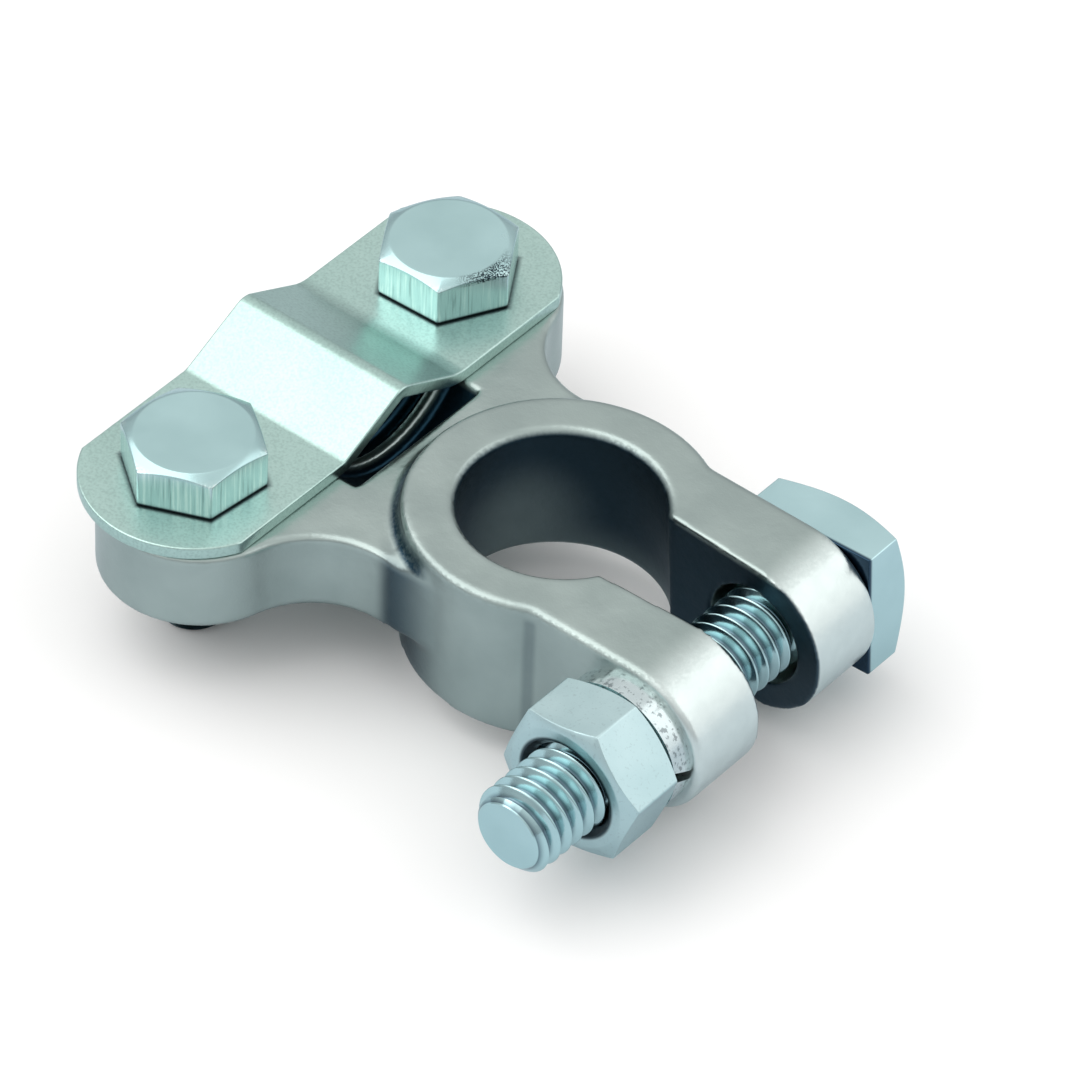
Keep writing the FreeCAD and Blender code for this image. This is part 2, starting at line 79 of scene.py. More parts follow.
class Socket:
    """A node socket that can be added to, multiplied and compared as a number is."""

    def __init__(self, tree, socket=None):
        self.tree = tree
        self.socket = socket

    def node(self, kind, settings=(), sockets=(), output=0):
        """Add a node: its type, its settings, and the values or links of its sockets."""
        made = self.tree.nodes.new(kind)
        for key, value in dict(settings).items():
            if key == "stops":
                for stop, (place, shade) in zip(made.color_ramp.elements, value):
                    stop.position = place
                    stop.color = shade
            else:
                setattr(made, key, value)
        for key, value in dict(sockets).items():
            if isinstance(value, Socket):
                self.tree.links.new(value.socket, made.inputs[key])
            else:
                made.inputs[key].default_value = value
        return Socket(self.tree, made.outputs[output])

    def math(self, operation, *terms):
        return self.node("ShaderNodeMath", {"operation": operation}, enumerate(terms))

    def __add__(self, other):
        return self.math("ADD", self, other)

    def __sub__(self, other):
        return self.math("SUBTRACT", self, other)

    def __rsub__(self, other):
        return self.math("SUBTRACT", other, self)

    def __mul__(self, other):
        return self.math("MULTIPLY", self, other)

    __radd__ = __add__
    __rmul__ = __mul__

    def either(self, other):
        """The larger of the two."""
        return self.math("MAXIMUM", self, other)

    def rise(self, low, high):
        """0 below low, 1 above high, and a smooth step from one to the other."""
        return self.node("ShaderNodeMapRange", {"interpolation_type": "SMOOTHSTEP"},
                         {"Value": self, "From Min": low, "From Max": high})

    def fall(self, low, high):
        """1 below low, 0 above high, and a smooth step from one to the other."""
        return 1 - self.rise(low, high)

    def near(self, middle, full, none):
        """1 up to full away from the middle, and falling to 0 at none away."""
        return self.math("ABSOLUTE", self - middle).fall(full, none)

    def into(self, node, name):
        self.tree.links.new(self.socket, node.inputs[name])


def looked_at(tree):
    """1 for the camera's rays, straight or through glass, and 0 for every other ray."""
    rays = tree.nodes.new("ShaderNodeLightPath")
    straight = Socket(tree, rays.outputs["Is Camera Ray"])
    return straight.either(Socket(tree, rays.outputs["Is Transmission Ray"]))


def shaded(tone, share, shade):
    """A tone turned towards another shade where share says."""
    return share.node("ShaderNodeMix", {"data_type": "RGBA"}, {0: share, 6: tone, 7: (*shade, 1)}, output=2)


world = bpy.data.worlds.new("studio_walls")
bpy.context.scene.world = world
world.use_nodes = True
sky = world.node_tree.nodes["Background"]
start = Socket(world.node_tree)
direction = start.node("ShaderNodeTexCoord", output=0)
height = start.node("ShaderNodeSeparateXYZ", sockets={0: direction}, output=2)
walls = start.node("ShaderNodeValToRGB", {"stops": [(0, WALL_FOOT), (WALL_TOP_HEIGHT, WALL_TOP)]},
                   {0: height})
shaded(walls, looked_at(world.node_tree), WHITE).into(sky, "Color")
sky.inputs["Strength"].default_value = 1.0


def soft_box(name, place, size, power):
    """A rectangular lamp that faces the clamp, in metres and watts."""
    bpy.ops.object.light_add(type="AREA")
    lamp = bpy.context.object
    lamp.name = name
    lamp.data.shape = "RECTANGLE"
    lamp.data.size = size[0]
    lamp.data.size_y = size[1]
    lamp.data.energy = power
    lamp.location = place
    lamp.rotation_euler = (AIM - lamp.location).to_track_quat("-Z", "Y").to_euler()


soft_box("overhead_box", place=(-0.35, -0.20, 0.60), size=(0.80, 0.80), power=2.3)
soft_box("behind_ears_box", place=(0.405, 0.375, 0.272), size=(0.64, 0.76), power=0.90)
soft_box("left_hand_box", place=(-0.22, -0.49, 0.37), size=(0.44, 0.36), power=0.30)

bpy.ops.mesh.primitive_grid_add(x_subdivisions=4, y_subdivisions=4, size=FLOOR_WIDTH,
                                location=(0, 0, FLOOR_LEVEL))
floor = bpy.context.object
floor.name = "studio_floor"
floor_finish = bpy.data.materials.new("white_sweep")
floor_finish.use_nodes = True
sweep = floor_finish.node_tree.nodes["Principled BSDF"]
sweep.inputs["Roughness"].default_value = 0.9
sweep.inputs["Specular IOR Level"].default_value = 0.1
shaded(FLOOR_MIRRORED, looked_at(floor_finish.node_tree), FLOOR_SEEN).into(sweep, "Base Color")
floor.data.materials.append(floor_finish)


# The casting: split ring, ears and arm are one tin-plated brass casting, a little soft at every
# edge, with the tapered bore, the slot and the cable trough cut into it. It is drawn in
# millimetres, in plan and from the side, and its parts are run together into one skin.
RING_RADIUS = 13.3
RING_HEIGHT = 14.4
EAR_HALF = 11.7
EAR_ROOT_ROUND = 2.5
EAR_HOLE_RADIUS = 4.7
BLANK_END = 27
CLAMP_BOLT_REACH = 17.2
CLAMP_BOLT_HEIGHT = RING_HEIGHT / 2
EDGE_ROUND = 0.65
BORE_TOP = 8.8
BORE_FOOT = 9.533
BORE_MOUTH_BEVEL = 0.5
BORE_FOOT_BEVEL = 1.2
SLOT_ROOT_HALF = 5.1
SLOT_END_HALF = 3.717
SADDLE_BOLT_REACH = 26.0
SADDLE_BOLT_SIDE = 16.3
TAPPED_HOLE_RADIUS = 3.225
LOBE_REACH = 24.9
LOBE_SIDE = 16.8
LOBE_RADIUS = 8.7
NECK_HALF = 13.1
NECK_ROUND = 8.2
NECK_END_REACH = 7.05
ARM_ROOT_REACH = 0.9
ARM_ROOT_HALF = 13.0
ARM_FOOT = 4.7
ARM_TOP = 12.3
ARM_EDGE_ROUND = 0.5
# A tool stands out past the face that it cuts by SPARE, and past the whole casting by CLEAR.
SPARE = 1
CLEAR = 20
MERGE = 0.001
PLANES = {
    "plan": (lambda across, along: Vector((across, along, 0)), Vector((0, 0, 1))),
    "front": (lambda across, along: Vector((across, 0, along)), Vector((0, -1, 0))),
    "end": (lambda across, along: Vector((0, across, along)), Vector((1, 0, 0))),
}


def drawn(name, plane, start, strokes):
    """An outline drawn from one point: a stroke is the next (across, along) point, or an arc's
    centre and its degrees, counter-clockwise. It is left in edit mode."""
    spot, normal = PLANES[plane]
    bpy.ops.object.select_all(action="DESELECT")
    bpy.ops.mesh.primitive_plane_add(size=1)
    piece = bpy.context.object
    piece.name = name
    bpy.ops.object.mode_set(mode="EDIT")
    bpy.ops.mesh.select_mode(type="VERT")
    bpy.ops.mesh.merge(type="CENTER")
    at = spot(*start)
    bpy.ops.transform.translate(value=at)
    for stroke in strokes:
        if len(stroke) == 2:
            step = spot(*stroke) - at
            bpy.ops.mesh.extrude_region_move(TRANSFORM_OT_translate={"value": step})
            at = at + step
        else:
            centre = spot(*stroke[:2])
            turn = math.radians(stroke[2])
            bpy.ops.mesh.spin(steps=max(4, round(abs(stroke[2]) / 2.5)), angle=-turn,
                              center=centre, axis=normal)
            at = centre + Matrix.Rotation(turn, 3, normal) @ (at - centre)
    return piece


def plate(name, plane, start, strokes, low, high):
    """A drawn outline, closed and raised from low to high along its plane's normal."""
    piece = drawn(name, plane, start, strokes)
    normal = PLANES[plane][1]
    bpy.ops.mesh.select_all(action="SELECT")
    bpy.ops.mesh.remove_doubles(threshold=MERGE)
    bpy.ops.mesh.edge_face_add()
    bpy.ops.transform.translate(value=normal * low)
    bpy.ops.mesh.extrude_region_move(TRANSFORM_OT_translate={"value": normal * (high - low)})
    bpy.ops.mesh.select_all(action="SELECT")
    bpy.ops.mesh.normals_make_consistent(inside=False)
    bpy.ops.object.mode_set(mode="OBJECT")
    return piece


def turned(name, profile, steps=96):
    """A closed body turned about Z from a profile of (radius, height) points."""
    piece = drawn(name, "front", profile[0], profile[1:])
    bpy.ops.mesh.select_all(action="SELECT")
    bpy.ops.mesh.spin(steps=steps, angle=math.tau, center=(0, 0, 0), axis=(0, 0, 1))
    bpy.ops.mesh.select_all(action="SELECT")
    bpy.ops.mesh.remove_doubles(threshold=MERGE)
    bpy.ops.mesh.normals_make_consistent(inside=False)
    bpy.ops.object.mode_set(mode="OBJECT")
    return piece


def drill(radius, low, high, steps=96):
    """A round tool that cuts a hole along Z."""
    return turned("drill", [(0, low), (radius, low), (radius, high), (0, high)], steps)


def put(piece, place=(0, 0, 0), turn=(0, 0, 0)):
    """Turn a piece by degrees about X, Y and Z, move it, and keep the move in its mesh."""
    bpy.ops.object.select_all(action="DESELECT")
    piece.select_set(True)
    bpy.context.view_layer.objects.active = piece
    piece.rotation_euler = [math.radians(angle) for angle in turn]
    piece.location = place
    bpy.ops.object.transform_apply(location=True, rotation=True, scale=True)
    return piece


def finish_step(piece, kind, **settings):
    """Add a modifier with its settings and apply it."""
    step = piece.modifiers.new(kind.lower(), kind)
    for key, value in settings.items():
        setattr(step, key, value)
    bpy.ops.object.select_all(action="DESELECT")
    piece.select_set(True)
    bpy.context.view_layer.objects.active = piece
    bpy.ops.object.modifier_apply(modifier=step.name)


def carve(piece, tool, operation="DIFFERENCE"):
    """Cut a piece with a tool, or keep what both fill, and throw the tool away."""
    finish_step(piece, "BOOLEAN", operation=operation, object=tool, solver="EXACT")
    bpy.data.objects.remove(tool)


def round_edges(piece, width, least_angle, steps=3, wanted=lambda middle: True):
    """Bevel the edges sharper than an angle whose middle is wanted."""
    bpy.ops.object.select_all(action="DESELECT")
    bpy.context.view_layer.objects.active = piece
    bpy.ops.object.mode_set(mode="EDIT")
    bpy.ops.mesh.select_mode(type="EDGE")
    bpy.ops.mesh.select_all(action="DESELECT")
    mesh = bmesh.from_edit_mesh(piece.data)
    for edge in mesh.edges:
        sharp = len(edge.link_faces) == 2 and edge.calc_face_angle() > math.radians(least_angle)
        if sharp and wanted((edge.verts[0].co + edge.verts[1].co) / 2):
            edge.select_set(True)
    bmesh.update_edit_mesh(piece.data)
    bpy.ops.mesh.bevel(offset=width, segments=steps, affect="EDGES", clamp_overlap=True)
    bpy.ops.object.mode_set(mode="OBJECT")


# Ring and ears in plan, kept where they lie inside the side view with its half-round ends.
root_side = EAR_HALF + EAR_ROOT_ROUND
root_along = math.sqrt((RING_RADIUS + EAR_ROOT_ROUND) ** 2 - root_side ** 2)
root_turn = 90 - math.degrees(math.atan2(root_side, root_along))
ring = plate("clamp_casting", "plan", (BLANK_END, -EAR_HALF), [
    (BLANK_END, EAR_HALF),
    (root_along, EAR_HALF),
    (root_along, root_side, -root_turn),
    (0, 0, 180 + 2 * root_turn),
    (root_along, -root_side, -root_turn),
], -2 * SPARE, RING_HEIGHT + 2 * SPARE)
side_view = plate("side_view", "front", (-CLEAR, 0), [
    (CLAMP_BOLT_REACH, 0),
    (CLAMP_BOLT_REACH, CLAMP_BOLT_HEIGHT, 180),
    (-CLEAR, RING_HEIGHT),
], -CLEAR, CLEAR)
carve(ring, side_view, "INTERSECT")
round_edges(ring, EDGE_ROUND, least_angle=60, steps=6)


def bore_tool():
    """The post's taper, with the bevel at its mouth and the wider one at its foot."""
    return turned("bore_tool", [
        (0, -SPARE),
        (BORE_FOOT + BORE_FOOT_BEVEL + SPARE, -SPARE),
        (BORE_FOOT, BORE_FOOT_BEVEL),
        (BORE_TOP, RING_HEIGHT - BORE_MOUTH_BEVEL),
        (BORE_TOP + BORE_MOUTH_BEVEL + SPARE, RING_HEIGHT + SPARE),
        (0, RING_HEIGHT + SPARE),
    ], steps=144)


carve(ring, bore_tool())
carve(ring, plate("slot_tool", "plan", (0, -SLOT_ROOT_HALF), [
    (BLANK_END, -SLOT_END_HALF),
    (BLANK_END, SLOT_END_HALF),
    (0, SLOT_ROOT_HALF),
], -SPARE, RING_HEIGHT + SPARE))
ear_hole = drill(EAR_HOLE_RADIUS, -CLEAR, CLEAR)
carve(ring, put(ear_hole, (CLAMP_BOLT_REACH, 0, CLAMP_BOLT_HEIGHT), (90, 0, 0)))

# The arm: a lobe under each saddle bolt, and waisted necks that run into the ring's wall.
neck_side = NECK_HALF + NECK_ROUND
neck_back = LOBE_REACH - math.sqrt((LOBE_RADIUS + NECK_ROUND) ** 2 - (neck_side - LOBE_SIDE) ** 2)
neck_end_side = neck_side - math.sqrt(NECK_ROUND ** 2 - (neck_back - NECK_END_REACH) ** 2)
to_lobe = math.degrees(math.atan2(LOBE_SIDE - neck_side, neck_back - LOBE_REACH))
to_end = math.degrees(math.atan2(neck_end_side - neck_side, neck_back - NECK_END_REACH))
arm = plate("arm", "plan", (-ARM_ROOT_REACH, -ARM_ROOT_HALF), [
    (-ARM_ROOT_REACH, ARM_ROOT_HALF),
    (-NECK_END_REACH, neck_end_side),
    (-neck_back, neck_side, to_lobe - to_end),
    (-LOBE_REACH, LOBE_SIDE, -to_lobe),
    (-LOBE_REACH - LOBE_RADIUS, -LOBE_SIDE),
    (-LOBE_REACH, -LOBE_SIDE, -to_lobe),
    (-neck_back, -neck_side, to_lobe - to_end),
], ARM_FOOT, ARM_TOP)
round_edges(arm, ARM_EDGE_ROUND, least_angle=60, steps=4, wanted=lambda middle: middle.x < -1.5)
carve(arm, bore_tool())

# The trough is turned about a line above the arm, and its ribs stand across the cable.
TROUGH_AXIS = 18.2
TROUGH_RADIUS = 10.0
TROUGH_FRONT = 15.4
TROUGH_BACK = 37
RIB_COUNT = 6
FIRST_RIB = 19.2
RIB_TOP = 9.1
RIB_HALF = 0.4
RIB_FLANK = 0.45
RIB_SPACING = 2.8
trough_profile = [(0, TROUGH_FRONT), (TROUGH_RADIUS, TROUGH_FRONT)]
for rib in range(RIB_COUNT):
    rib_place = FIRST_RIB + RIB_SPACING * rib
    trough_profile += [(TROUGH_RADIUS, rib_place - RIB_HALF - RIB_FLANK), (RIB_TOP, rib_place - RIB_HALF),
                       (RIB_TOP, rib_place + RIB_HALF), (TROUGH_RADIUS, rib_place + RIB_HALF + RIB_FLANK)]
trough_profile += [(TROUGH_RADIUS, TROUGH_BACK), (0, TROUGH_BACK)]
carve(arm, put(turned("trough_tool", trough_profile, steps=144), (0, 0, TROUGH_AXIS), (0, -90, 0)))
for side in (-1, 1):
    hole = drill(TAPPED_HOLE_RADIUS, 0, CLEAR, steps=48)
    carve(arm, put(hole, (-SADDLE_BOLT_REACH, SADDLE_BOLT_SIDE * side, 0)))

# The cast fillet that leads the ring's wall into the arm.
FILLET = 1.3
FILLET_ROOT = 12.8
FILLET_FOOT = ARM_TOP - 0.3
FILLET_START = 2
FILLET_END = 16
FILLET_HALF = 12.95
fillet = turned("cast_fillet", [
    (FILLET_ROOT, FILLET_FOOT),
    (RING_RADIUS + FILLET, FILLET_FOOT),
    (RING_RADIUS + FILLET, ARM_TOP),
    (RING_RADIUS + FILLET, ARM_TOP + FILLET, -90),
    (FILLET_ROOT, ARM_TOP + FILLET),
    (FILLET_ROOT, FILLET_FOOT),
], steps=144)
carve(fillet, plate("fillet_reach", "plan", (-FILLET_END, -FILLET_HALF), [
    (-FILLET_START, -FILLET_HALF),
    (-FILLET_START, FILLET_HALF),
    (-FILLET_END, FILLET_HALF),
], FILLET_FOOT - SPARE, RING_HEIGHT + SPARE), "INTERSECT")

# One cast skin over all three, a little worn at every edge. The voxels leave ripples where the
# necks run out on the ring's wall, so that zone is smoothed again.
VOXEL = 0.22
NECK_END_WEST = -8.0
NECK_END_EAST = -0.6
NECK_END_NEAR = 10.0
NECK_END_FAR = 15
NECK_END_TOP = 13.7
NECK_END_RADIUS = 12.7
bpy.ops.object.select_all(action="DESELECT")
arm.select_set(True)
fillet.select_set(True)
ring.select_set(True)
bpy.context.view_layer.objects.active = ring
bpy.ops.object.join()
casting = ring
finish_step(casting, "REMESH", mode="VOXEL", voxel_size=VOXEL)
finish_step(casting, "SMOOTH", factor=0.5, iterations=2)
bpy.ops.object.mode_set(mode="EDIT")
bpy.ops.mesh.select_mode(type="VERT")
bpy.ops.mesh.select_all(action="DESELECT")
skin = bmesh.from_edit_mesh(casting.data)
for corner in skin.verts:
    at_neck_end = NECK_END_WEST < corner.co.x < NECK_END_EAST
    at_neck_end = at_neck_end and NECK_END_NEAR < abs(corner.co.y) < NECK_END_FAR
    at_neck_end = at_neck_end and corner.co.z < NECK_END_TOP
    corner.select_set(at_neck_end and corner.co.to_2d().length > NECK_END_RADIUS)
bmesh.update_edit_mesh(casting.data)
bpy.ops.mesh.vertices_smooth(factor=0.5, repeat=16)
bpy.ops.object.mode_set(mode="OBJECT")


ALL_SMOOTH = 180


def hand_over(piece, body, node, finish, smooth_below=32):
    """Bring a finished piece from millimetres to metres and let it stand for its node."""
    piece.scale = (MM, MM, MM)
    put(piece)
    bpy.ops.object.shade_smooth_by_angle(angle=math.radians(smooth_below))
    if smooth_below < ALL_SMOOTH:
        finish_step(piece, "WEIGHTED_NORMAL", weight=60, keep_sharp=True)
    piece.data.materials.clear()
    piece.data.materials.append(finish)
    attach(piece, body)
    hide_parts(node)


def noise(point, scale, detail, roughness=0.5):
    """A noise over the point, with so many patches to the metre."""
    return point.node("ShaderNodeTexNoise", sockets={
        "Vector": point, "Scale": scale, "Detail": detail, "Roughness": roughness})


def metal(name, dark_tone, light_tone, patches):
    """A bare metal with patches of two tones: its material, shader, point, tone and patches."""
    finish = bpy.data.materials.new(name)
    finish.use_nodes = True
    shader = finish.node_tree.nodes["Principled BSDF"]
    shader.inputs["Metallic"].default_value = 1.0
    point = Socket(finish.node_tree).node("ShaderNodeTexCoord", output=3)
    patch = noise(point, patches, detail=3)
    tone = point.node("ShaderNodeValToRGB", {"stops": [(0.34, (*dark_tone, 1)), (0.68, (*light_tone, 1))]},
                      {0: patch})
    return finish, shader, point, tone, patch


def measures(point):
    """How far east, north and high the shaded point is, in millimetres."""
    return [point.node("ShaderNodeSeparateXYZ", sockets={0: point}, output=part) * (1 / MM)
            for part in range(3)]


def distance(point, spot):
    """How far the shaded point is from a spot, in millimetres."""
    return point.node("ShaderNodeVectorMath", {"operation": "DISTANCE"},
                      {0: point, 1: Vector(spot) * MM}, output=1) * (1 / MM)


def diagonal(first, second):
    """The diagonal of two measures that stand square to each other."""
    return first.math("SQRT", first * first + second * second)


def relief(height, strength, depth, over=None):
    """A bump so many millimetres deep, alone or over another one."""
    sockets = {"Strength": strength, "Distance": depth * MM, "Height": height}
    if over:
        sockets["Normal"] = over
    return height.node("ShaderNodeBump", sockets=sockets)


def coat(shader, tone, roughness, normal):
    """Link what changes over a metal's surface to its shader."""
    tone.into(shader, "Base Color")
    roughness.into(shader, "Roughness")
    normal.into(shader, "Normal")


# Painted shade darkens the bore, the slot, the trough and the creases by the ring, where the seam
# behind the ring is also speckled like grime. The ears' roots carry a painted dark reflection, a patch
# low in the bore a painted reflection of light, and the ears' ends a painted highlight.
PAINTED_SHADE_AND_GRIME = (0.008, 0.036, 0.062)
EAR_END_HIGHLIGHT = (0.76, 0.83, 0.81)
SLOT_TAPER = (SLOT_ROOT_HALF - SLOT_END_HALF) / BLANK_END
cast_tin, shader, point, tone, patch = metal(
    "tinned_casting", dark_tone=(0.350, 0.415, 0.398), light_tone=(0.415, 0.485, 0.462), patches=150)
east, north, high = measures(point)
aside = point.math("ABSOLUTE", north)
from_post = diagonal(east, north)
from_cable = diagonal(north, TROUGH_AXIS - high)
grain = noise(point, 1700, detail=4, roughness=0.65)
speckle = noise(point, 2700, detail=3)
pits = noise(point, 620, detail=3)
waves = noise(point, 230, detail=2)
# Painted shade darkens the bore, and lit_bore paints a reflection of light onto a patch low in it.
in_bore = from_post.fall(BORE_TOP + 0.5, BORE_TOP + 1.1) * high.fall(RING_HEIGHT - 0.6, RING_HEIGHT - 0.1)
lit_bore = distance(point, (-8.2, 4.4, 4.5)).fall(1.0, 8.0)
# Painted shade darkens the slot's walls and the ears' inner faces.
in_slot = (aside + east * SLOT_TAPER).fall(SLOT_ROOT_HALF + 0.05, SLOT_ROOT_HALF + 0.30) * east.rise(
    6.0, 8.0) * high.fall(RING_HEIGHT - 0.8, RING_HEIGHT - 0.3)
# Painted shade darkens the cable trough, all but the ribs' crests.
in_trough = high.fall(ARM_TOP - 0.6, ARM_TOP - 0.1) * east.fall(-TROUGH_FRONT - 0.3, -TROUGH_FRONT + 0.2)
in_trough = in_trough * from_cable.fall(TROUGH_RADIUS, TROUGH_RADIUS + 0.4)
in_trough = in_trough * (0.02 + 0.98 * from_cable.rise(RIB_TOP, RIB_TOP + 0.6))
# Painted shade along the seam where the arm's top meets the ring, speckled like grime.
beside_ring = from_post.near(RING_RADIUS + 0.4, full=0.1, none=0.8) * high.near(
    ARM_TOP + 0.7, full=0.4, none=1.2) * east.fall(-5.0, -3.0)
# Painted shade in the creases where the necks run into the ring's wall.
neck_crease = east.rise(-10.5, -7.6) * east.fall(-7.2, -0.8) * high.fall(ARM_TOP - 0.9, ARM_TOP + 0.5)
neck_crease = neck_crease * from_post.rise(RING_RADIUS - 0.9, RING_RADIUS - 0.4) * from_post.fall(
    RING_RADIUS + 1.7, RING_RADIUS + 2.7)
# A painted dark reflection down the concave roots of the ears.
ear_root = east.rise(5.6, 6.2) * east.fall(6.6, 7.3) * aside.rise(
    EAR_HALF - 0.6, EAR_HALF - 0.2) * high.fall(RING_HEIGHT - 1.6, RING_HEIGHT - 0.8)
on_rim = high.rise(RING_HEIGHT - 1.0, RING_HEIGHT - 0.4) * high.fall(RING_HEIGHT - 0.2, RING_HEIGHT - 0.04)
on_rim = on_rim * (from_post.rise(RING_RADIUS - 0.9, RING_RADIUS - 0.5) + from_post.fall(
    BORE_TOP + 0.6, BORE_TOP + 1.0))
# A painted highlight lightens the ears' half-round ends.
ear_end = east.rise(CLAMP_BOLT_REACH, CLAMP_BOLT_REACH + 3.4)
dark = (in_bore * (0.93 - lit_bore * 0.45)).either(in_trough * 0.98).either(in_slot * 0.93)
dark = dark.either(beside_ring * (0.80 + speckle.rise(0.36, 0.62) * 0.16))
dark = dark.either(neck_crease * 0.84).either(ear_root * 0.34)
coat(shader,
     tone=shaded(shaded(tone, ear_end * (0.64 + pits * 0.32), EAR_END_HIGHLIGHT), dark, PAINTED_SHADE_AND_GRIME),
     roughness=0.26 + patch * 0.10 + in_bore * 0.12 + on_rim * speckle.rise(0.42, 0.58) * 0.22,
     normal=relief(grain + pits * 0.7, strength=0.30, depth=0.10,
                   over=relief(waves, strength=0.6, depth=0.12)))
hand_over(casting, "casting", "clamp_body", cast_tin, ALL_SMOOTH)


# The saddle: a strip of zinc-plated sheet steel folded into a low ridge across the cable, its
# ends cut round about the two bolts that draw it down on the casting's lobes.
SADDLE_HALF_WIDTH = 8.8
SADDLE_SHOULDER = 4.1
SADDLE_THICKNESS = 1.2
SADDLE_TOP = ARM_TOP + SADDLE_THICKNESS
SADDLE_HOLE_RADIUS = 3.55
SADDLE_EDGE_ROUND = 0.17
FOLD_HALF = 7.35
FOLD_RISE = 3.5
CREST_BEND = 0.85
FRONT_BEND = 0.30
REAR_BEND = 0.90
shoulder_side = SADDLE_BOLT_SIDE + SADDLE_SHOULDER
end_turn = 180 - 2 * math.degrees(math.atan2(SADDLE_SHOULDER, SADDLE_HALF_WIDTH))
saddle = drawn("folded_saddle", "plan", (SADDLE_HALF_WIDTH - SADDLE_BOLT_REACH, -shoulder_side), [
    (SADDLE_HALF_WIDTH - SADDLE_BOLT_REACH, shoulder_side),
    (-SADDLE_BOLT_REACH, SADDLE_BOLT_SIDE, end_turn),
    (-SADDLE_HALF_WIDTH - SADDLE_BOLT_REACH, -shoulder_side),
    (-SADDLE_BOLT_REACH, -SADDLE_BOLT_SIDE, end_turn),
])
bpy.ops.mesh.select_all(action="SELECT")
bpy.ops.mesh.remove_doubles(threshold=MERGE)
bpy.ops.mesh.edge_face_add()
bpy.ops.transform.translate(value=(0, 0, SADDLE_TOP))
for fold in (-FOLD_HALF, 0, FOLD_HALF):
    bpy.ops.mesh.select_all(action="SELECT")
    bpy.ops.mesh.bisect(plane_co=(0, fold, 0), plane_no=(0, 1, 0))
sheet = bmesh.from_edit_mesh(saddle.data)
for corner in sheet.verts:
    if abs(corner.co.y) < 0.01:
        corner.co.z += FOLD_RISE
sheet.normal_update()
looks_down = sum(face.normal.z for face in sheet.faces) < 0
bmesh.update_edit_mesh(saddle.data)
if looks_down:
    bpy.ops.mesh.select_all(action="SELECT")
    bpy.ops.mesh.flip_normals()
bpy.ops.object.mode_set(mode="OBJECT")
round_edges(saddle, CREST_BEND, least_angle=40, steps=8)
round_edges(saddle, FRONT_BEND, least_angle=20, steps=4,
            wanted=lambda middle: abs(middle.y + FOLD_HALF) < 0.1)
round_edges(saddle, REAR_BEND, least_angle=20, steps=8,
            wanted=lambda middle: abs(middle.y - FOLD_HALF) < 0.1)
finish_step(saddle, "SOLIDIFY", thickness=SADDLE_THICKNESS, offset=-1, use_even_offset=True)
for side in (-1, 1):
    hole = drill(SADDLE_HOLE_RADIUS, SADDLE_TOP - CLEAR, SADDLE_TOP + CLEAR, steps=48)
    carve(saddle, put(hole, (-SADDLE_BOLT_REACH, SADDLE_BOLT_SIDE * side, 0)))
round_edges(saddle, SADDLE_EDGE_ROUND, least_angle=60, steps=3)

# Its grain runs the way the sheet was rolled, and a painted shadow rings each bolt head's foot.
SADDLE_HEAD_FLATS = 11.1
SADDLE_BOLTS = ((-1, 24, "front"), (1, 2, "rear"))
sheet_zinc, shader, point, tone, patch = metal(
    "zinc_plated_sheet", dark_tone=(0.405, 0.570, 0.525), light_tone=(0.470, 0.640, 0.590), patches=90)
east, north, high = measures(point)
along_sheet = point.node("ShaderNodeMapping", sockets={"Vector": point, "Scale": (2.2, 0.35, 1)})
rolled = noise(along_sheet, 1500, detail=4)
speck = noise(point, 4200, detail=2)


def off_axis(side, turn):
    """How far the point is from a saddle bolt's axis, across the flats of its hexagon."""
    flats = []
    for angle in (30, 90, 150):
        heading = math.radians(turn + angle)
        flats.append(point.math("ABSOLUTE", (east + SADDLE_BOLT_REACH) * math.cos(heading) + (
            north - SADDLE_BOLT_SIDE * side) * math.sin(heading)))
    return flats[0].either(flats[1]).either(flats[2])


# A painted contact shadow rings the foot of each bolt head.
shadow_by_front, shadow_by_rear = (off_axis(*bolt[:2]).fall(SADDLE_HEAD_FLATS / 2, SADDLE_HEAD_FLATS / 2 + 0.5)
                     for bolt in SADDLE_BOLTS)
layered_tone = shaded(tone, shadow_by_front.either(shadow_by_rear) * (0.55 + speck * 0.4), (0.02, 0.04, 0.05))
layered_tone = shaded(layered_tone, speck.fall(0.36, 0.50) * 0.18, (0.20, 0.27, 0.26))
coat(shader,
     tone=shaded(layered_tone, speck.rise(0.50, 0.66) * 0.12, (0.70, 0.84, 0.80)),
     roughness=0.24 + patch * 0.06 + rolled * 0.06,
     normal=relief(rolled + speck * 0.8, strength=0.22, depth=0.05))
hand_over(saddle, "saddle", "cable_saddle", sheet_zinc)


# The saddle bolts: cold-headed hexagon bolts of zinc-plated steel, screwed through the saddle
# into the casting's lobes, with the marks of the trimming die down the sides of their heads.
SADDLE_THREAD = 6.35
SADDLE_PITCH = 1.27
SADDLE_BOLT_LENGTH = 15.9
SADDLE_TIP_BEVEL = 0.7
SADDLE_HEAD_HEIGHT = 4.15
FLAT_SHARE = 0.91
HEAD_BEVEL = math.tan(math.radians(25))
HEAD_CORNER_ROUND = 0.16
HEAD_CUT_ROUND = 0.09
HEAD_FOOT_ROUND = 0.20
THREAD_DEPTH = 0.613
THREAD_START = 2.137
THREAD_FORM = [(0, 0), (0.06, 0.01), (0.11, 0.06), (0.15, 0.14), (0.40, 0.86), (0.44, 0.96), (0.48, 1)]
SHANK_IN_HEAD = 0.6
SHANK_SLACK = 0.01


